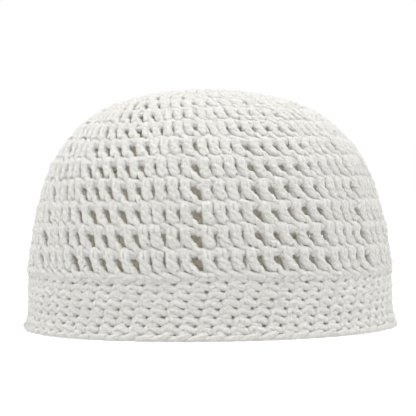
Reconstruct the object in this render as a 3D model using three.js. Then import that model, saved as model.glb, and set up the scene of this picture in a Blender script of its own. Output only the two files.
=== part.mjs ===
// A crocheted cotton kufi: a round, brimless cap worked from the middle of the crown down to the rim.
// Its crown is thirteen rounds of double crochet. The first six widen it and are closed. In the seven even
// rounds below them, solid blocks of stitches take turns with an open mesh. A band of single crochet and one
// thick edging round finish the rim. The cap rests on its edging, with the origin in the middle of the rim,
// -Y to the front, +X to the right and +Z up. All sizes are in millimetres, and angles are in degrees.
import * as THREE from "three";

// The whole cap.
const RIM_DIAMETER = 187;
const HEIGHT = 118;
const SEAM_GAP = 0.3;

// Edging round.
const EDGING_HEIGHT = 3.6;
const EDGING_WALL = 4.8;

// Band of single crochet.
const BAND_HEIGHT = 26.8;
const BAND_WALL = 4.2;
const BAND_SECTIONS = 4;

// Crown of double crochet.
const CROWN_ROUNDS = 13;
const TOP_ROUNDS = 6;
const CROWN_WALL = 4.2;
const CHAIN_HEIGHT = 4.5;
const CHAIN_RIDGE = 0.8;
const POST_END = 0.8;

// Openwork: the sectors round the crown, and what each holds.
const SECTORS = 6;
const SECTOR_TURN = -2.6;
const MESH_POSTS = 4;
const BLOCK_STITCHES = 4;
const MESH_GAP = 3.4;
const CENTRE_GAP = 4;
const POST_LEAN = 3.2;
const CUT_ROUNDS = 3;

// How far apart the posts stand, as shares of the distance between two stitches of a block.
const MESH_PITCH_SHARE = 1.33;
const CENTRE_PITCH_SHARE = 1.6;

// The top of the crown leans to the wearer's right, the left of the front view.
const CROWN_LEAN = 3;
const LEAN_POWER = 6;

// Facets round the cap.
const RIM_FACETS = 72;
const TOP_FACETS = 48;

// The cap's outer line from the rim to the apex: heights as shares of HEIGHT, radii as shares of the rim's.
const OUTLINE = [
  { height: 0, radius: 1 },
  { height: 0.035, radius: 0.994 },
  { height: 0.085, radius: 0.982 },
  { height: 0.207, radius: 0.977 },
  { height: 0.372, radius: 0.949 },
  { height: 0.536, radius: 0.905 },
  { height: 0.705, radius: 0.824 },
  { height: 0.833, radius: 0.698 },
  { height: 0.918, radius: 0.55 },
  { height: 0.968, radius: 0.373 },
  { height: 0.992, radius: 0.19 },
  { height: 1, radius: 0 },
];

// Section of the edging, from the foot of its outer side round to where it started.
// out is a share of EDGING_WALL inward from the rim, and up a share of EDGING_HEIGHT.
const EDGING_SECTION = [
  { out: 0.25, up: 0 },
  { out: 0, up: 0.45 },
  { out: 0.18, up: 1 },
  { out: 0.82, up: 1 },
  { out: 1, up: 0.45 },
  { out: 0.75, up: 0 },
];

const RIM_RADIUS = RIM_DIAMETER / 2;
const WHITE_COTTON = { color: 0xe9e7e0, roughness: 0.95, metalness: 0 };

// The outline as a curve of radius against height, measured along its length from the apex down.
const outline = new THREE.SplineCurve(
  OUTLINE.map((row) => new THREE.Vector2(row.radius * RIM_RADIUS, row.height * HEIGHT)).reverse(),
);
outline.arcLengthDivisions = 1000;
const OUTLINE_LENGTH = outline.getLength();

// What is left of the outline for the crown once the edging and the band have their share.
const CROWN_END = OUTLINE_LENGTH - EDGING_HEIGHT - BAND_HEIGHT;
const ROUND_HEIGHT = CROWN_END / CROWN_ROUNDS;

// A point of the wall: along is the distance from the apex, out the distance outward from the outline.
function wallPoint(along, angle, out) {
  const share = THREE.MathUtils.clamp(along / OUTLINE_LENGTH, 0, 1);
  const spot = outline.getPointAt(share);
  const down = outline.getTangentAt(share);
  const radius = Math.max(spot.x - down.y * out, 0);
  const height = spot.y + down.x * out;
  const lean = CROWN_LEAN * Math.pow(Math.max(height, 0) / HEIGHT, LEAN_POWER);
  return [radius * Math.sin(angle) - lean, -radius * Math.cos(angle), height];
}

// A point on the level face that meets the edging: inward is the distance in from the outline.
function footPoint(angle, height, inward) {
  const radius = outlineRadiusAt(height) - inward;
  return [radius * Math.sin(angle), -radius * Math.cos(angle), height];
}

// The outline's radius at a height above the rim, found by halving its length until nothing is left.
function outlineRadiusAt(height) {
  let high = 0;
  let low = 1;
  while (low - high > Number.EPSILON) {
    const middle = (high + low) / 2;
    if (outline.getPointAt(middle).y > height) high = middle;
    else low = middle;
  }
  return outline.getPointAt(low).x;
}

// The outline's own end at the apex, moved in or out.
function apexPoint(out) {
  const height = HEIGHT + out;
  return [-CROWN_LEAN * Math.pow(height / HEIGHT, LEAN_POWER), 0, height];
}

// A closed wall between an outer and an inner skin of matching points, from the outer skin's faces.
// Each free edge of the outer skin gets a face across the wall.
function shell(outer, inner, faces) {
  const count = outer.length;
  const triangles = [];
  const used = new Set();
  for (const face of faces) {
    for (let i = 1; i + 1 < face.length; i += 1) {
      triangles.push([face[0], face[i], face[i + 1]]);
      triangles.push([face[0] + count, face[i + 1] + count, face[i] + count]);
    }
    face.forEach((from, i) => used.add(`${from},${face[(i + 1) % face.length]}`));
  }
  for (const edge of used) {
    const [from, to] = edge.split(",").map(Number);
    if (!used.has(`${to},${from}`)) {
      triangles.push([to, from, from + count], [to, from + count, to + count]);
    }
  }
  const geometry = new THREE.BufferGeometry();
  geometry.setAttribute("position", new THREE.Float32BufferAttribute([...outer, ...inner].flat(), 3));
  geometry.setIndex(triangles.flat());
  geometry.computeVertexNormals();
  return geometry;
}

// A ring of wall through rings from the top down, each with its distance along the outline, its columns'
// angles, its step outward and its wall. isCut says which cells between two rings are left open.
function wallRing(rings, isCut = () => false) {
  const columns = rings[0].angles.length;
  const outer = [];
  const inner = [];
  const faces = [];
  rings.forEach((ring) => {
    ring.angles.forEach((angle) => {
      outer.push(wallPoint(ring.along, angle, ring.step));
      inner.push(wallPoint(ring.along, angle, -ring.wall));
    });
  });
  for (let row = 0; row + 1 < rings.length; row += 1) {
    for (let column = 0; column < columns; column += 1) {
      if (isCut(row, column)) continue;
      const next = (column + 1) % columns;
      const above = row * columns;
      const below = above + columns;
      faces.push([below + column, below + next, above + next, above + column]);
    }
  }
  return { outer, inner, faces, columns };
}

function evenAngles(count) {
  return Array.from({ length: count }, (_, i) => (i / count) * 2 * Math.PI);
}

// Two rings for each round of double crochet: the lower ends of the posts above it, which reach POST_END over
// the line between the rounds, and the lower edge of the row of chains, which stands out a ridge over its own
// posts. Between the two, the posts lean to the right on their way down.
function crochetRings(first, last, anglesOf) {
  const rings = [];
  for (let round = first; round <= last; round += 1) {
    const postEnd = round * ROUND_HEIGHT - POST_END;
    const chain = postEnd + CHAIN_HEIGHT;
    const top = round === first ? round * ROUND_HEIGHT : postEnd;
    rings.push({ along: top, angles: anglesOf(top, POST_LEAN / 2), step: 0, wall: CROWN_WALL });
    rings.push({ along: chain, angles: anglesOf(chain, -POST_LEAN / 2), step: CHAIN_RIDGE, wall: CROWN_WALL });
  }
  return rings;
}

// The closed middle of the crown, from its first stitches down to the last widening round.
function crownTop() {
  const angles = evenAngles(TOP_FACETS);
  const rings = crochetRings(0, TOP_ROUNDS - 1, () => angles).slice(1);
  rings.push({ along: TOP_ROUNDS * ROUND_HEIGHT - SEAM_GAP, angles, step: 0, wall: CROWN_WALL });
  const { outer, inner, faces, columns } = wallRing(rings);
  const apex = outer.length;
  outer.push(apexPoint(0));
  inner.push(apexPoint(-CROWN_WALL));
  for (let column = 0; column < columns; column += 1) {
    faces.push([apex, column, (column + 1) % columns]);
  }
  return shell(outer, inner, faces);
}

// The edges of one sector's columns in degrees, and which columns are gaps. A sector runs from the gap
// in the middle of one pair of blocks, over a block, the mesh and the next block, to the next such gap.
function sectorColumns() {
  const blockPitches = 2 * (BLOCK_STITCHES - 1);
  const meshPitches = MESH_POSTS + 1;
  const pitches = blockPitches + CENTRE_PITCH_SHARE + meshPitches * MESH_PITCH_SHARE;
  const pitchAngle = 360 / SECTORS / pitches;
  const radius = outline.getPointAt(CROWN_END / OUTLINE_LENGTH).x;
  const meshGap = THREE.MathUtils.radToDeg(MESH_GAP / radius);
  const centreGap = THREE.MathUtils.radToDeg(CENTRE_GAP / radius);
  const edges = [{ at: -centreGap / 2, gap: true }];
  let at = centreGap / 2;
  const firstGap = pitchAngle * (CENTRE_PITCH_SHARE / 2 + BLOCK_STITCHES - 1 + MESH_PITCH_SHARE / 2);
  for (let gap = 0; gap <= MESH_POSTS; gap += 1) {
    const middle = firstGap + gap * pitchAngle * MESH_PITCH_SHARE;
    edges.push({ at, gap: false });
    if (gap === 0) edges.push({ at: (at + middle - meshGap / 2) / 2, gap: false });
    edges.push({ at: middle - meshGap / 2, gap: true });
    at = middle + meshGap / 2;
  }
  const sectorEnd = 360 / SECTORS - centreGap / 2;
  edges.push({ at, gap: false }, { at: (at + sectorEnd) / 2, gap: false });
  return edges;
}

// The even rounds of the crown, cut through at each gap of the lowest rounds, where the gaps are widest.
function crownOpenwork() {
  const sector = sectorColumns();
  const columns = evenAngles(SECTORS).flatMap((turn) =>
    sector.map((edge) => ({
      angle: turn + THREE.MathUtils.degToRad(edge.at + SECTOR_TURN),
      gap: edge.gap,
    })),
  );
  const anglesOf = (along, lean) => {
    const radius = outline.getPointAt(along / OUTLINE_LENGTH).x;
    return columns.map((column) => column.angle + lean / radius);
  };
  const rings = crochetRings(TOP_ROUNDS, CROWN_ROUNDS - 1, anglesOf);
  for (const end of [CROWN_END - POST_END, CROWN_END]) {
    rings.push({ along: end, angles: anglesOf(end, POST_LEAN / 2), step: 0, wall: CROWN_WALL });
  }
  const firstCutRing = 2 * (CROWN_ROUNDS - TOP_ROUNDS - CUT_ROUNDS);
  const isChainRing = (row) => row % 2 === 1;
  const { outer, inner, faces } = wallRing(
    rings,
    (row, column) => row >= firstCutRing && isChainRing(row) && columns[column].gap,
  );
  return shell(outer, inner, faces);
}

// The band of single crochet between the crown and the edging, with a level foot over the edging.
function band() {
  const angles = evenAngles(RIM_FACETS);
  const rings = Array.from({ length: BAND_SECTIONS }, (_, i) => ({
    along: CROWN_END + SEAM_GAP + (BAND_HEIGHT * i) / BAND_SECTIONS,
    angles,
    step: 0,
    wall: BAND_WALL,
  }));
  rings.push(rings[BAND_SECTIONS - 1]);
  const { outer, inner, faces, columns } = wallRing(rings);
  const footHeight = EDGING_HEIGHT + SEAM_GAP;
  angles.forEach((angle, column) => {
    outer[BAND_SECTIONS * columns + column] = footPoint(angle, footHeight, 0);
    inner[BAND_SECTIONS * columns + column] = footPoint(angle, footHeight, BAND_WALL);
  });
  return shell(outer, inner, faces);
}

// The thick last round, flat where the cap rests on it.
function edging() {
  const section = EDGING_SECTION.map(
    (row) => new THREE.Vector2(RIM_RADIUS - row.out * EDGING_WALL, row.up * EDGING_HEIGHT),
  );
  section.push(section[0].clone());
  const geometry = new THREE.LatheGeometry(section, RIM_FACETS);
  geometry.rotateX(Math.PI / 2);
  return geometry;
}

function piece(name, geometry) {
  const mesh = new THREE.Mesh(geometry, new THREE.MeshStandardMaterial(WHITE_COTTON));
  mesh.name = name;
  return mesh;
}

const kufi = new THREE.Group();
kufi.add(
  piece("crown_top", crownTop()),
  piece("crown_openwork", crownOpenwork()),
  piece("band", band()),
  piece("edging", edging()),
);

export default kufi;
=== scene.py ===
"""Dress the crocheted kufi in its yarn.

Every round of the cap is one closed loop of plied cotton yarn that is worked stitch by stitch: the crown in
double crochet with chains across its gaps, the band in single crochet and the rim in a thick edging round.
The rounds lie in the wall of the solid cap, with the front at -Y. Sizes are in metres, and angles in
radians.
"""

import logging
import math
from dataclasses import dataclass
from enum import Enum

import bmesh
import bpy
import numpy as np
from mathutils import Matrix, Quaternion, Vector


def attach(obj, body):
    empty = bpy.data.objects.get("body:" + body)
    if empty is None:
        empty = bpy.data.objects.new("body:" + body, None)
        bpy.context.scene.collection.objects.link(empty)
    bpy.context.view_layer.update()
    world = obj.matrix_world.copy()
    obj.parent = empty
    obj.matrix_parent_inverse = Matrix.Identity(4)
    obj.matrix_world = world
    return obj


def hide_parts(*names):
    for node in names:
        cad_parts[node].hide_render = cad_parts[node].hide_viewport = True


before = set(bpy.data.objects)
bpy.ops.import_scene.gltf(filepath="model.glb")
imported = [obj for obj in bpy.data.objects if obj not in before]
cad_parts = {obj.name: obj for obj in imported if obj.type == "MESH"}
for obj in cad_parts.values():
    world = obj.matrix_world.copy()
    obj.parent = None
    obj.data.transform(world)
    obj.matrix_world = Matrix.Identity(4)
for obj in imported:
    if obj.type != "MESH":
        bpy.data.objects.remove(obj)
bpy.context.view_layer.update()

LOG = logging.getLogger("kufi")
BODY = "root"
COTTON_SLOT = "crochet_cotton"
FULL_TURN = 2 * math.pi
WHITE = (1, 1, 1, 1)


class StitchKind(Enum):
    """The stitches that the cap is made of."""

    DOUBLE = "double crochet"
    SINGLE = "single crochet"
    CHAIN = "chain"
    EDGE = "edging stitch"


# The way of the yarn through each stitch, in yarn diameters. A row is (share, aside, level, drop, out).
# share runs from the neck of the stitch before, 0, to this stitch's own line, 1. That line goes from the
# stitch's foot, level 0, down to its neck, level 1. aside is to the right of the line, drop is down from the
# level and out is off the wall.
STITCH_PATHS = {
    StitchKind.DOUBLE: (
        (0, 0.10, 1, -0.35, 0.45),
        (0.35, 0, 1, 0.05, 0.60),
        (0.7, 0, 1, 0.35, 0.45),
        (1, -0.05, 1, 0.50, 0.15),
        (1, 0.35, 1, 0.45, -0.10),
        (1, 0.05, 1, 0.60, -0.20),
        (0.5, 0, 1, 0.75, 0.0),
        (0.1, 0.30, 1, 0.80, -0.10),
        (0.2, 0, 1, 0.10, -0.65),
        (1, -0.52, 1, -2.20, -0.55),
        (1, -0.62, 1, -2.80, 0.0),
        (1, -0.45, 1, -2.90, 0.65),
        (1, 0.05, 1, -2.30, 0.85),
        (1, 0.52, 1, -1.65, 0.55),
        (1, 0.60, 1, -1.40, -0.20),
        (1, 0.45, 1, -1.80, -0.65),
        (1, 0.25, 0, 1.20, -0.75),
        (1, 0.20, 0, 0.50, -0.85),
        (1, 0.0, 0, -0.05, -0.50),
        (1, -0.35, 0, -0.10, 0.15),
        (1, -0.38, 0, 0.25, 0.85),
        (1, -0.42, 0, 0.80, 0.80),
        (1, -0.48, 0, 1.35, 0.45),
        (1, -0.38, 0, 1.90, 0.05),
        (1, 0.0, 0, 2.20, 0.0),
        (1, 0.38, 0, 1.90, 0.10),
        (1, 0.48, 0, 1.35, 0.55),
        (1, 0.42, 0, 0.80, 0.85),
        (1, 0.38, 0, 0.25, 0.85),
        (1, 0.30, 0, -0.10, 0.15),
        (1, 0.0, 0, -0.05, -0.50),
        (1, -0.30, 0, 0.50, -0.85),
        (1, -0.35, 0, 1.20, -0.75),
        (1, -0.50, 0, 1.80, -0.20),
        (1, -0.45, 0, 2.45, 0.45),
        (1, -0.35, 1, -1.30, 0.60),
        (1, 0.05, 1, -0.90, 0.60),
        (1, 0.48, 1, -0.80, 0.45),
        (1, 0.55, 1, -1.20, 0.45),
        (1, 0.50, 0, 2.55, 0.45),
        (1, 0.30, 0, 2.20, -0.10),
        (1, 0.10, 0, 2.30, -0.50),
        (1, -0.15, 1, -1.35, -0.60),
        (1, -0.25, 1, -0.90, 0.0),
    ),
    StitchKind.SINGLE: (
        (1, -1.60, 1, -0.08, -0.55),
        (1, -1.40, 1, -0.04, 0.05),
        (1, -0.90, 1, 0.0, 0.35),
        (1, -0.40, 1, -0.02, 0.15),
        (1, -0.10, 1, -0.10, -0.55),
        (1, -0.60, 0, 1.10, -0.95),
        (1, -1.30, 0, 1.15, -0.60),
        (1, -1.55, 0, 1.05, 0.10),
        (1, -1.35, 0, 0.68, 0.50),
        (1, -1.00, 0, 0.32, 0.55),
        (1, -0.50, 0, 0.45, 0.60),
        (1, 0.10, 0, 0.72, 0.60),
        (1, 0.80, 0, 0.92, 0.45),
        (1, 1.05, 0, 1.00, -0.15),
        (1, 1.20, 0, 1.10, -0.75),
    ),
    StitchKind.CHAIN: (
        (0, -0.30, 1, -1.30, 0.60),
        (0, 0.05, 1, -0.80, 0.75),
        (0, 0.25, 1, -0.35, 0.60),
        (0.4, 0, 1, 0.05, 0.60),
        (0.8, 0, 1, 0.15, 0.50),
        (1, 0.25, 1, 0.30, 0.20),
        (1, 0.10, 1, 0.50, -0.05),
        (0.6, 0, 1, 0.85, 0.30),
        (0.15, 0.20, 1, 1.25, 0.25),
        (0.3, 0, 1, 0.65, -0.50),
        (0.7, 0, 1, 0.20, -0.55),
        (1, 0.0, 1, 0.40, -0.20),
    ),
    StitchKind.EDGE: (
        (-0.15, 0, 0, 0.85, 0.10),
        (0.05, 0, 0, 0.95, 0.65),
        (0.45, 0, 0, 0.75, 0.85),
        (0.85, 0, 0, 0.40, 0.70),
        (1.05, 0, 0, 0.20, 0.15),
        (1.00, 0, 0, 0.35, -0.55),
        (0.65, 0, 0, 0.85, -0.80),
        (0.25, 0, 0, 0.95, -0.70),
        (0.30, 0, 0, 0.55, -0.10),
    ),
}

# How far a chain's neck hangs below the other necks, and the least drop of the yarn that leaves it before
# that is added, both in yarn diameters.
CHAIN_NECK_DROP = 0.9
CHAIN_LEAST_DROP = -0.35

# The stitches of a block and the posts of the mesh in one sector of the crown: for each round that widens
# it, and for the even rounds below.
WIDENING_SECTORS = {4: (3, 0), 5: (3, 2), 6: (4, 3)}
EVEN_SECTOR = (4, 4)


@dataclass(frozen=True)
class CapShape:
    """The cap's outer surface: an outline turned about Z, leaning a little to one side at the top.

    The outline is given from the apex down, with radii as shares of the rim's and heights as shares of the
    cap's. A wave of the hand's work has a strength, a count round the cap, a turn for each metre down the
    outline and a start. The waves fade out before the rim, over 1 / rim_fade of the outline's length.
    """

    rim_radius: float = 0.0935
    height: float = 0.118
    edging_height: float = 0.0036
    band_height: float = 0.0268
    crown_lean: float = 0.0030
    lean_power: float = 6
    samples: int = 2000
    outline: tuple[tuple[float, float], ...] = (
        (0, 1),
        (0.19, 0.992),
        (0.373, 0.968),
        (0.55, 0.918),
        (0.698, 0.833),
        (0.824, 0.705),
        (0.905, 0.536),
        (0.949, 0.372),
        (0.977, 0.207),
        (0.982, 0.085),
        (0.994, 0.035),
        (1, 0),
    )
    unevenness: float = 0.00035
    waves: tuple[tuple[float, float, float, float], ...] = ((1, 5, 70, 0), (0.6, 11, -190, 1))
    rim_fade: float = 20

    def traced(self) -> np.ndarray:
        """Trace the outline from the apex down.

        Returns:
            Radius and height of each sample.
        """
        knots = np.array(self.outline) * (self.rim_radius, self.height)
        padded = np.vstack([knots[:1], knots, knots[-1:]])
        at = np.linspace(0, len(knots) - 1, self.samples)
        start = np.minimum(at.astype(int), len(knots) - 2)
        t = (at - start)[:, None]
        before, low, high, after = (padded[start + i] for i in range(4))
        leave, arrive = (high - before) / 2, (after - low) / 2
        return (
            (2 * t**3 - 3 * t**2 + 1) * low
            + (t**3 - 2 * t**2 + t) * leave
            + (3 * t**2 - 2 * t**3) * high
            + (t**3 - t**2) * arrive
        )

    def profile(self) -> tuple[np.ndarray, np.ndarray, np.ndarray]:
        """Measure the outline along its length.

        Returns:
            The distance along it, its points, and its unit direction at each point.
        """
        points = self.traced()
        steps = np.linalg.norm(np.diff(points, axis=0), axis=1)
        along = np.concatenate([[0], np.cumsum(steps)])
        way = np.gradient(points, along, axis=0)
        return along, points, way / np.linalg.norm(way, axis=1)[:, None]

    def length(self) -> float:
        """Give the outline's length from the apex to the rim."""
        return float(self.profile()[0][-1])

    def edging_start(self) -> float:
        """Give the distance from the apex along the outline to the edging."""
        return self.length() - self.edging_height

    def band_start(self) -> float:
        """Give the distance from the apex along the outline to the band."""
        return self.edging_start() - self.band_height

    def radius_at(self, along: float) -> float:
        """Give the outline's radius at a distance along it."""
        table, points, _ = self.profile()
        return float(np.interp(along, table, points[:, 0]))

    def wander(self, angle: np.ndarray, along: np.ndarray) -> np.ndarray:
        """Tell how far the hand's work wanders down at a place, in units of its unevenness."""
        return sum(
            strength * np.sin(around * angle + down * along + start)
            for strength, around, down, start in self.waves
        )

    def place(self, along: np.ndarray, angle: np.ndarray, aside: np.ndarray, out: np.ndarray) -> np.ndarray:
        """Place points on the wall.

        Args:
            along: Distances along the outline from the apex.
            angle: Angles round the cap from the front, to the right.
            aside: Distances to the right of that angle, on the tangent.
            out: Distances outward from the outline.

        Returns:
            The points, one row each.
        """
        table, points, way = self.profile()
        waviness = np.clip(self.rim_fade - self.rim_fade * along / table[-1], 0, 1)
        along = along + self.unevenness * self.wander(angle, along) * waviness
        radius, height = (np.interp(along, table, points[:, i]) for i in range(2))
        way_out, way_down = (np.interp(along, table, way[:, i]) for i in range(2))
        height = height + np.maximum(along - table[-1], 0) * way_down
        radius = radius - way_down * out
        height = height + way_out * out
        lean = self.crown_lean * (np.maximum(height, 0) / self.height) ** self.lean_power
        x = radius * np.sin(angle) + aside * np.cos(angle) - lean
        y = -radius * np.cos(angle) + aside * np.sin(angle)
        return np.stack([x, y, height], axis=1)


@dataclass(frozen=True)
class Yarn:
    """A plied cotton yarn, and how its tube is made.

    The tube is fullness times as thick as the yarn. It has one point for each knot of a path, and as many as
    there are steps where it bends by more than straightness. Its plies turn once in a ply_pitch.
    """

    fullness: float
    diameter: float = 0.0026
    sides: int = 6
    steps: int = 2
    straightness: float = math.radians(16)
    ply_pitch: float = 0.015

    def smoothed(self, knots: np.ndarray) -> np.ndarray:
        """Run a closed B-spline by the knots of a path.

        Args:
            knots: The path's points, the last joined to the first.

        Returns:
            The points of the yarn's middle line.
        """
        runs = []
        for step in range(self.steps):
            t = step / self.steps
            shares = (
                (1 - t) ** 3 / 6,
                (3 * t**3 - 6 * t**2 + 4) / 6,
                (-3 * t**3 + 3 * t**2 + 3 * t + 1) / 6,
                t**3 / 6,
            )
            runs.append(sum(share * np.roll(knots, 1 - i, axis=0) for i, share in enumerate(shares)))
        line = np.stack(runs, axis=1).reshape(-1, 3)
        return line[self.needed(line)]

    def needed(self, line: np.ndarray) -> np.ndarray:
        """Tell which points a line needs: one for each knot, and more where it bends sharply."""
        ahead = np.roll(line, -1, axis=0) - line
        ahead /= np.linalg.norm(ahead, axis=1)[:, None]
        turn = np.arccos(np.clip((ahead * np.roll(ahead, 1, axis=0)).sum(axis=1), -1, 1))
        return (np.arange(len(line)) % self.steps == 0) | (turn > self.straightness)

    def sides_of(self, line: np.ndarray) -> tuple[np.ndarray, np.ndarray]:
        """Carry a pair of side directions along a closed line without twist, and close them evenly.

        Args:
            line: The points of the middle line.

        Returns:
            Two unit directions across the line at each point.
        """
        way = np.roll(line, -1, axis=0) - np.roll(line, 1, axis=0)
        way /= np.linalg.norm(way, axis=1)[:, None]
        side = np.cross(way[0], (0.0, 0.0, 1.0))
        sides = np.empty_like(line)
        for i, forward in enumerate(way):
            side = side - forward * forward.dot(side)
            side = side / math.sqrt(side.dot(side))
            sides[i] = side
        others = np.cross(way, sides)
        last = side - way[0] * way[0].dot(side)
        gap = math.atan2(last.dot(others[0]), last.dot(sides[0]))
        turn = -gap * np.arange(len(line))[:, None] / len(line)
        return (
            np.cos(turn) * sides + np.sin(turn) * others,
            np.cos(turn) * others - np.sin(turn) * sides,
        )

    def mesh(self, name: str, knots: np.ndarray, floor: float | None) -> bpy.types.Mesh:
        """Make the yarn's tube along a closed path, from arrays.

        Args:
            name: The mesh's name.
            knots: The path's points.
            floor: The height that the yarn is flattened at, if any.

        Returns:
            The tube's mesh, with a UV map in ply pitches along the yarn and turns around it.
        """
        line = self.smoothed(knots)
        first, second = self.sides_of(line)
        around = np.arange(self.sides) / self.sides * FULL_TURN
        ring = (
            np.cos(around)[None, :, None] * first[:, None, :]
            + np.sin(around)[None, :, None] * second[:, None, :]
        )
        points = (line[:, None, :] + self.fullness * self.diameter / 2 * ring).reshape(-1, 3)
        if floor is not None:
            points[:, 2] = np.maximum(points[:, 2], floor)
        count = len(line)
        row = np.arange(count)[:, None]
        column = np.arange(self.sides)[None, :]
        here, after = row * self.sides, (row + 1) % count * self.sides
        beside = (column + 1) % self.sides
        quads = np.stack([here + column, here + beside, after + beside, after + column], axis=-1)
        mesh = bpy.data.meshes.new(name)
        mesh.from_pydata(points.tolist(), [], quads.reshape(-1, 4).tolist())
        uvs = self.uvs(line)
        mesh.uv_layers.new(name="UVMap").data.foreach_set("uv", uvs.astype(np.float32).ravel())
        mesh.polygons.foreach_set("use_smooth", np.ones(len(mesh.polygons), dtype=bool))
        mesh.update()
        return mesh

    def uvs(self, line: np.ndarray) -> np.ndarray:
        """Lay the tube's faces out flat, from where the yarn starts.

        Args:
            line: The points of the middle line.

        Returns:
            The place of each face's four corners, in ply pitches along the yarn and turns around it.
        """
        steps = np.linalg.norm(np.roll(line, -1, axis=0) - line, axis=1)
        reach = np.concatenate([[0], np.cumsum(steps)]) / self.ply_pitch
        column = np.arange(self.sides)[None, :]
        grid = (len(line), self.sides)
        low, high = (np.broadcast_to(r[:, None], grid) for r in (reach[:-1], reach[1:]))
        near, far = (np.broadcast_to(c / self.sides, grid) for c in (column, column + 1))
        corners = ((low, near), (low, far), (high, far), (high, near))
        return np.stack([np.stack(corner, axis=-1) for corner in corners], axis=2)


@dataclass(frozen=True)
class Stitch:
    """One stitch of a round: its kind, the angles of its foot and of its neck, and how far it spreads."""

    kind: StitchKind
    foot: float
    neck: float
    spread: float = 1.0


@dataclass
class YarnRound:
    """One round of stitches as a closed loop of yarn.

    top and bottom are distances along the outline, and pitch is from one stitch to the next. middle is how
    far outward from the outline the yarn lies, and flatness is the share of a path's own depth that is kept.
    A stitch's line keeps to the angle of its foot before it turns to its neck, the longer the higher the
    curl, and it goes on past the neck to line_end, in heights of the round. looseness is in yarn diameters,
    and outward_share is the share of it by which whole stitches move off the wall. The stitches are as wide
    as their path says where the pitch is no_width_pitch and full_width_growth together, in yarn diameters,
    and narrower below that, down to least_spread.
    """

    name: str
    node: str
    stitches: list[Stitch]
    top: float
    bottom: float
    pitch: float
    cap: CapShape
    yarn: Yarn
    seed: int
    middle: float = -0.0023
    flatness: float = 0.7
    curl: float = 1.0
    line_end: float = 1.1
    looseness: float = 0.12
    outward_share: float = 0.6
    no_width_pitch: float = 1.25
    full_width_growth: float = 1.65
    least_spread: float = 0.35
    floor: float | None = None

    def spread(self) -> float:
        """Tell how wide the round's stitches lie, as a share of the width in their path."""
        share = (self.pitch / self.yarn.diameter - self.no_width_pitch) / self.full_width_growth
        return float(np.clip(share, self.least_spread, 1.0))

    def knots(self) -> np.ndarray:
        """Lay the yarn's way through every stitch of the round on the cap.

        Returns:
            The points of the path.
        """
        rng = np.random.default_rng(self.seed)
        size = self.yarn.diameter
        spread = self.spread()
        rows = []
        before, before_kind = self.stitches[-1].neck - FULL_TURN, self.stitches[-1].kind
        for stitch in self.stitches:
            path = np.array(STITCH_PATHS[stitch.kind], dtype=float)
            share, aside, level, drop, out = path.T
            if before_kind is StitchKind.CHAIN:
                drop = np.where(share == 0, np.maximum(drop, CHAIN_LEAST_DROP) + CHAIN_NECK_DROP, drop)
            along = self.top + level * (self.bottom - self.top) + drop * size
            fall = np.clip((along - self.top) / (self.bottom - self.top), 0, self.line_end)
            own = stitch.foot + (stitch.neck - stitch.foot) * fall**self.curl
            angle = before + (own - before) * share
            jitter = rng.normal(0, self.looseness, 3) * size
            loose = rng.normal(0, self.looseness / 2, (len(path), 3)) * size
            down = along + loose[:, 0] + share * jitter[0]
            right = aside * size * spread * stitch.spread + loose[:, 1] + share * jitter[1]
            off = self.middle + out * size * self.flatness + loose[:, 2]
            off += share * jitter[2] * self.outward_share
            rows.append(np.stack([down, angle, right, off], axis=1))
            before, before_kind = stitch.neck, stitch.kind
        along, angle, aside, out = np.vstack(rows).T
        return self.cap.place(along, angle, aside, out)

    def build(self, finish: bpy.types.Material) -> bpy.types.Object:
        """Make the round's yarn and tie it to the solid that it stands for.

        Args:
            finish: The yarn's material.

        Returns:
            The new piece.
        """
        mesh = self.yarn.mesh(self.name, self.knots(), self.floor)
        mesh.materials.append(finish)
        piece = bpy.data.objects.new(self.name, mesh)
        bpy.context.scene.collection.objects.link(piece)
        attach(piece, BODY)
        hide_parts(self.node)
        LOG.info("%s: %d stitches, %d faces", self.name, len(self.stitches), len(mesh.polygons))
        return piece


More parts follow.
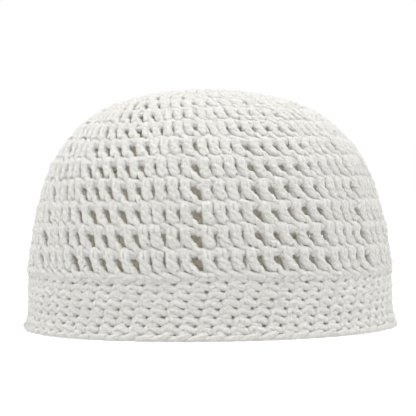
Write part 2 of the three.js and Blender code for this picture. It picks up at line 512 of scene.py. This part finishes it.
@dataclass
class Crown:
    """The thirteen rounds of double crochet, worked from the middle of the crown down.

    The first rounds are plain. From then on a sector runs from the gap in the middle of one pair of blocks
    to the next, and mesh_pitch and centre_pitch are the distances across its gaps, in pitches of a block's
    stitches. The gap in the middle of a pair grows from least_centre_pitch until full_centre_round. Feet are
    shifted to the left and necks to the right, those at a gap further, and all by largest_turn at most. At
    the back the stitches are turned and lie wider, so that no gap there shows through one in front.
    """

    cap: CapShape
    yarn: Yarn = Yarn(fullness=1.31)
    rounds: int = 13
    closed_rounds: int = 6
    plain_rounds: int = 3
    plain_increase: int = 2
    sectors: int = 6
    turn: float = math.radians(-2.6)
    twist: float = math.radians(-0.1)
    ring: float = 0.0030
    mesh_pitch: float = 1.33
    centre_pitch: float = 1.6
    centre_growth: float = 0.13
    full_centre_round: int = 10
    least_centre_pitch: float = 1.2
    foot_shift: float = -0.0021
    neck_shift: float = 0.0009
    gap_neck_shift: float = 0.0024
    largest_turn: float = 0.10
    curl: float = 2.6
    middle: float = -0.0015
    flatness: float = 0.5
    block_spread: float = 1.35
    gap_spread: float = 1.15
    back_turn: float = math.radians(-0.75)
    back_spread: float = 0.6
    back_power: int = 4
    first_seed: int = 40

    def sector(self, round_number: int) -> tuple[list[tuple[StitchKind, float]], float]:
        """Lay out one sector of a round, from the middle of one pair of blocks to the next.

        Args:
            round_number: The round, counted from 1 in the middle of the crown.

        Returns:
            Each stitch's kind and place, and the sector's width, in pitches of a block's stitches.
        """
        if round_number <= self.plain_rounds:
            count = self.plain_increase * round_number
            return [(StitchKind.DOUBLE, i + 0.5) for i in range(count)], count
        block, posts = WIDENING_SECTORS.get(round_number, EVEN_SECTOR)
        narrowing = self.centre_growth * max(self.full_centre_round - round_number, 0)
        centre_pitch = max(self.centre_pitch - narrowing, self.least_centre_pitch)
        places = [(StitchKind.CHAIN, 0.0)]
        at = centre_pitch / 2
        places += [(StitchKind.DOUBLE, at + i) for i in range(block)]
        at += block - 1
        for _ in range(posts):
            places.append((StitchKind.CHAIN, at + self.mesh_pitch / 2))
            at += self.mesh_pitch
            places.append((StitchKind.DOUBLE, at))
        places.append((StitchKind.CHAIN, at + self.mesh_pitch / 2))
        at += self.mesh_pitch
        places += [(StitchKind.DOUBLE, at + i) for i in range(block)]
        return places, at + block - 1 + centre_pitch / 2

    def stitches(self, round_number: int, radius: float) -> list[Stitch]:
        """Place all the stitches of a round.

        Args:
            round_number: The round, counted from 1.
            radius: The cap's radius at the round's chain row.

        Returns:
            The stitches in the order in which they are worked.
        """
        foot = max(self.foot_shift / radius, -self.largest_turn)
        turn = self.turn + self.twist * (self.rounds - round_number)
        placed = []
        places, width = self.sector(round_number)
        following = places[1:] + places[:1]
        before_gap = [here for here, after in zip(places, following) if after[0] is StitchKind.CHAIN]
        for sector in range(self.sectors):
            for kind, place in places:
                angle = (sector + place / width) * FULL_TURN / self.sectors + turn
                backward = math.sin(angle / 2) ** self.back_power
                angle += self.back_turn * backward
                at_gap = kind is StitchKind.CHAIN or (kind, place) in before_gap
                shift = self.gap_neck_shift if at_gap else self.neck_shift
                neck = min(shift / radius, self.largest_turn)
                spread = (self.gap_spread if at_gap else self.block_spread) + self.back_spread * backward
                placed.append(Stitch(kind, angle + foot, angle + neck, spread))
        return placed

    def build(self, finish: bpy.types.Material) -> list[bpy.types.Object]:
        """Make every round of the crown.

        Args:
            finish: The yarn's material.

        Returns:
            The rounds' pieces.
        """
        depth = self.cap.band_start() / self.rounds
        pieces = []
        for number in range(1, self.rounds + 1):
            top = max((number - 1) * depth, self.ring)
            radius = self.cap.radius_at(number * depth)
            work = YarnRound(
                name=f"crown_round_{number:02d}",
                node="crown_top" if number <= self.closed_rounds else "crown_openwork",
                stitches=self.stitches(number, radius),
                top=top,
                bottom=number * depth,
                pitch=FULL_TURN * radius / self.sectors / self.sector(number)[1],
                cap=self.cap,
                yarn=self.yarn,
                seed=self.first_seed + number,
                middle=self.middle,
                flatness=self.flatness,
                curl=self.curl,
            )
            pieces.append(work.build(finish))
        return pieces


@dataclass
class Band:
    """The seven rounds of single crochet above the rim.

    start_turn is where the first round starts, in stitches, and drift is how far each round moves on.
    """

    cap: CapShape
    yarn: Yarn = Yarn(fullness=1.50)
    rounds: int = 7
    stitches: int = 72
    start_turn: float = 0.78
    drift: float = -0.17
    flatness: float = 0.25
    looseness: float = 0.07
    first_seed: int = 100

    def build(self, finish: bpy.types.Material) -> list[bpy.types.Object]:
        """Make every round of the band.

        Args:
            finish: The yarn's material.

        Returns:
            The rounds' pieces.
        """
        start, depth = self.cap.band_start(), self.cap.band_height
        pitch = FULL_TURN / self.stitches
        pieces = []
        for number in range(self.rounds):
            places = [pitch * (i + self.start_turn + self.drift * number) for i in range(self.stitches)]
            work = YarnRound(
                name=f"band_round_{number + 1}",
                node="band",
                stitches=[Stitch(StitchKind.SINGLE, at, at) for at in places],
                top=start + depth * number / self.rounds,
                bottom=start + depth * (number + 1) / self.rounds,
                pitch=pitch * self.cap.rim_radius,
                cap=self.cap,
                yarn=self.yarn,
                seed=self.first_seed + number,
                flatness=self.flatness,
                looseness=self.looseness,
            )
            pieces.append(work.build(finish))
        return pieces


@dataclass
class Edging:
    """The thick last round, flattened where the cap stands on it."""

    cap: CapShape
    yarn: Yarn = Yarn(fullness=1.25)
    stitches: int = 72
    start_turn: float = 0.77
    seed: int = 200
    floor: float = 0.0

    def build(self, finish: bpy.types.Material) -> bpy.types.Object:
        """Make the edging round.

        Args:
            finish: The yarn's material.

        Returns:
            The edging's piece.
        """
        pitch = FULL_TURN / self.stitches
        places = [pitch * (i + self.start_turn) for i in range(self.stitches)]
        work = YarnRound(
            name="edging_round",
            node="edging",
            stitches=[Stitch(StitchKind.EDGE, at, at) for at in places],
            top=self.cap.edging_start(),
            bottom=self.cap.length(),
            pitch=pitch * self.cap.rim_radius,
            cap=self.cap,
            yarn=self.yarn,
            seed=self.seed,
            floor=self.floor,
        )
        return work.build(finish)


@dataclass(frozen=True)
class CottonFinish:
    """Matte plied cotton: turned plies along the yarn, fine fibres and a slight unevenness of tone.

    A scale is in waves of noise for each metre, and a height in metres. The tone goes from shade to light
    while the patches' noise goes from patch_low to patch_high.
    """

    light: tuple[float, float, float, float] = (0.765, 0.757, 0.725, 1)
    shade: tuple[float, float, float, float] = (0.66, 0.65, 0.61, 1)
    roughness: float = 0.92
    specular: float = 0.2
    sheen: float = 0.25
    sheen_roughness: float = 0.6
    plies: float = 10
    ply_height: float = 0.00018
    fibre_scale: float = 1000
    fibre_roughness: float = 0.65
    fibre_height: float = 0.0009
    patch_scale: float = 900
    patch_roughness: float = 0.7
    patch_low: float = 0.35
    patch_high: float = 0.60
    noise_detail: float = 4

    def build(self) -> bpy.types.Material:
        """Build the material.

        Returns:
            The cotton yarn's material.
        """
        material = bpy.data.materials.new(COTTON_SLOT)
        material.use_nodes = True
        tree = material.node_tree
        surface = tree.nodes["Principled BSDF"]
        surface.inputs["Roughness"].default_value = self.roughness
        surface.inputs["Specular IOR Level"].default_value = self.specular
        surface.inputs["Sheen Weight"].default_value = self.sheen
        surface.inputs["Sheen Roughness"].default_value = self.sheen_roughness
        place = tree.nodes.new("ShaderNodeTexCoord").outputs["Object"]
        fibres = self.noise(tree, place, self.fibre_scale, self.fibre_roughness)
        patches = self.noise(tree, place, self.patch_scale, self.patch_roughness)
        plied = self.bump(tree, self.ply_relief(tree), self.ply_height)
        fuzzy = self.bump(tree, fibres, self.fibre_height)
        tree.links.new(plied.outputs["Normal"], fuzzy.inputs["Normal"])
        tree.links.new(fuzzy.outputs["Normal"], surface.inputs["Normal"])
        tree.links.new(self.tone(tree, patches), surface.inputs["Base Color"])
        return material

    def ply_relief(self, tree: bpy.types.NodeTree) -> bpy.types.NodeSocket:
        """Raise a ridge along each ply, turned around the yarn.

        Args:
            tree: The material's tree.

        Returns:
            The relief's height, from 0 to 1.
        """
        uv = tree.nodes.new("ShaderNodeUVMap")
        uv.uv_map = "UVMap"
        parts = tree.nodes.new("ShaderNodeSeparateXYZ")
        tree.links.new(uv.outputs["UV"], parts.inputs["Vector"])
        around = self.worked(tree, "MULTIPLY", parts.outputs["Y"], self.plies)
        along = self.worked(tree, "MULTIPLY", parts.outputs["X"], self.plies)
        turned = self.worked(tree, "SUBTRACT", around, along)
        wave = self.worked(tree, "SINE", self.worked(tree, "MULTIPLY", turned, math.pi))
        return self.worked(tree, "ABSOLUTE", wave)

    def tone(self, tree: bpy.types.NodeTree, patches: bpy.types.NodeSocket) -> bpy.types.NodeSocket:
        """Mix the yarn's two tones in patches.

        Args:
            tree: The material's tree.
            patches: The noise that the patches follow.

        Returns:
            The colour's socket.
        """
        share = tree.nodes.new("ShaderNodeMapRange")
        share.inputs["From Min"].default_value = self.patch_low
        share.inputs["From Max"].default_value = self.patch_high
        tree.links.new(patches, share.inputs["Value"])
        colour = tree.nodes.new("ShaderNodeMix")
        colour.data_type = "RGBA"
        colour.inputs["A"].default_value = self.shade
        colour.inputs["B"].default_value = self.light
        tree.links.new(share.outputs["Result"], colour.inputs["Factor"])
        return colour.outputs["Result"]

    def noise(
        self, tree: bpy.types.NodeTree, place: bpy.types.NodeSocket, scale: float, roughness: float
    ) -> bpy.types.NodeSocket:
        """Make a noise in the yarn's own space.

        Args:
            tree: The material's tree.
            place: The place on the piece.
            scale: The noise's scale.
            roughness: The noise's roughness.

        Returns:
            The noise's socket.
        """
        node = tree.nodes.new("ShaderNodeTexNoise")
        node.inputs["Scale"].default_value = scale
        node.inputs["Detail"].default_value = self.noise_detail
        node.inputs["Roughness"].default_value = roughness
        tree.links.new(place, node.inputs["Vector"])
        return node.outputs["Fac"]

    def bump(
        self, tree: bpy.types.NodeTree, height: bpy.types.NodeSocket, distance: float
    ) -> bpy.types.Node:
        """Turn a height into a relief.

        Args:
            tree: The material's tree.
            height: The height, from 0 to 1.
            distance: How high 1 stands.

        Returns:
            The relief's node.
        """
        node = tree.nodes.new("ShaderNodeBump")
        node.inputs["Distance"].default_value = distance
        tree.links.new(height, node.inputs["Height"])
        return node

    def worked(
        self,
        tree: bpy.types.NodeTree,
        operation: str,
        first: bpy.types.NodeSocket,
        second: bpy.types.NodeSocket | float | None = None,
    ) -> bpy.types.NodeSocket:
        """Work a value out from one or two others.

        Args:
            tree: The material's tree.
            operation: The maths node's operation.
            first: The first value.
            second: The second value, if the operation has one: a socket or a number.

        Returns:
            The result's socket.
        """
        node = tree.nodes.new("ShaderNodeMath")
        node.operation = operation
        tree.links.new(first, node.inputs[0])
        if isinstance(second, bpy.types.NodeSocket):
            tree.links.new(second, node.inputs[1])
        elif second is not None:
            node.inputs[1].default_value = second
        return node.outputs["Value"]


@dataclass(frozen=True)
class Softbox:
    """A wide, far lamp: its name, the way of its light, its strength and its width as an angle."""

    name: str
    way: tuple[float, float, float]
    strength: float
    width: float = 1.3

    def build(self) -> None:
        """Make the lamp."""
        lamp = bpy.data.lights.new(self.name, "SUN")
        lamp.angle = self.width
        lamp.energy = self.strength
        holder = bpy.data.objects.new(self.name, lamp)
        holder.rotation_euler = Vector(self.way).to_track_quat("-Z", "Y").to_euler()
        bpy.context.scene.collection.objects.link(holder)


@dataclass(frozen=True)
class Studio:
    """The pale floor, the soft light and the camera.

    sky is the world's strength as a light. The camera itself sees a world of strength 1.
    """

    floor_radius: float = 12
    floor_segments: int = 96
    floor_colour: tuple[float, float, float, float] = (0.25, 0.25, 0.25, 1)
    floor_roughness: float = 0.9
    floor_glow: float = 0.8
    covered_radius: float = 0.0895
    sky: float = 0.47
    softboxes: tuple[Softbox, ...] = (
        Softbox("overhead", (-0.02, 0.08, -1.0), 3.05),
        Softbox("left_side", (1.0, 0.2, -0.3), 1.2),
        Softbox("right_side", (-1.0, 0.2, -0.3), 1.2),
    )
    inside_strength: float = 0.085
    inside_size: float = 0.03
    inside_height: float = 0.05
    inside_tint: tuple[float, float, float] = (1.0, 0.93, 0.76)
    distance: float = 0.88
    camera_height: float = 0.070
    target: tuple[float, float, float] = (-0.0006, 0, 0.0595)
    roll: float = math.radians(-0.65)
    lens: float = 151
    sensor: float = 36
    nearest: float = 0.01
    farthest: float = 100

    def build(self) -> None:
        """Make the floor, the world, the lights and the camera."""
        self.floor()
        self.world()
        for softbox in self.softboxes:
            softbox.build()
        self.inside_lamp()
        self.camera()

    def floor(self) -> None:
        """Make the round floor, which glows a little except where the cap covers it."""
        shape = bmesh.new()
        segments = self.floor_segments
        bmesh.ops.create_circle(shape, cap_ends=True, segments=segments, radius=self.covered_radius)
        bmesh.ops.create_circle(shape, segments=segments, radius=self.floor_radius)
        rims = [edge for edge in shape.edges if not edge.link_faces or edge.is_boundary]
        ring = bmesh.ops.bridge_loops(shape, edges=rims)
        for face in ring["faces"]:
            face.material_index = 1
        mesh = bpy.data.meshes.new("floor")
        shape.to_mesh(mesh)
        shape.free()
        for name, glow in (("covered_floor", 0.0), ("pale_floor", self.floor_glow)):
            material = bpy.data.materials.new(name)
            material.use_nodes = True
            surface = material.node_tree.nodes["Principled BSDF"]
            surface.inputs["Base Color"].default_value = self.floor_colour
            surface.inputs["Roughness"].default_value = self.floor_roughness
            surface.inputs["Emission Color"].default_value = WHITE
            surface.inputs["Emission Strength"].default_value = glow
            mesh.materials.append(material)
        floor = bpy.data.objects.new("floor", mesh)
        bpy.context.scene.collection.objects.link(floor)

    def world(self) -> None:
        """Make the white world, which is brighter to the camera than as a light."""
        world = bpy.data.worlds.new("studio")
        world.use_nodes = True
        nodes, join = world.node_tree.nodes, world.node_tree.links.new
        background = nodes["Background"]
        background.inputs["Color"].default_value = WHITE
        seen = nodes.new("ShaderNodeLightPath")
        strength = nodes.new("ShaderNodeMapRange")
        strength.inputs["To Min"].default_value = self.sky
        strength.inputs["To Max"].default_value = 1.0
        join(seen.outputs["Is Camera Ray"], strength.inputs["Value"])
        join(strength.outputs["Result"], background.inputs["Strength"])
        bpy.context.scene.world = world

    def inside_lamp(self) -> None:
        """Make the lamp for the light that comes through the yarn, which warms the gaps from inside."""
        lamp = bpy.data.lights.new("inside", "POINT")
        lamp.shadow_soft_size = self.inside_size
        lamp.energy = self.inside_strength
        lamp.color = self.inside_tint
        holder = bpy.data.objects.new("inside", lamp)
        holder.location = (0, 0, self.inside_height)
        bpy.context.scene.collection.objects.link(holder)

    def camera(self) -> None:
        """Make the camera at the photograph's angle."""
        lens = bpy.data.cameras.new("camera")
        lens.lens = self.lens
        lens.sensor_width = self.sensor
        lens.clip_start = self.nearest
        lens.clip_end = self.farthest
        holder = bpy.data.objects.new("camera", lens)
        holder.location = (0, -self.distance, self.camera_height)
        way = Vector(self.target) - Vector(holder.location)
        upright = way.to_track_quat("-Z", "Y")
        holder.rotation_euler = (upright @ Quaternion((0, 0, 1), self.roll)).to_euler()
        bpy.context.scene.collection.objects.link(holder)
        bpy.context.scene.camera = holder


def main() -> None:
    """Build the cap's yarn from the crown down, and then the studio."""
    logging.basicConfig(level=logging.INFO, format="%(message)s")
    cap = CapShape()
    finish = CottonFinish().build()
    Crown(cap).build(finish)
    Band(cap).build(finish)
    Edging(cap).build(finish)
    Studio().build()
    bpy.context.scene.view_settings.view_transform = "Standard"


if __name__ == "__main__":
    main()
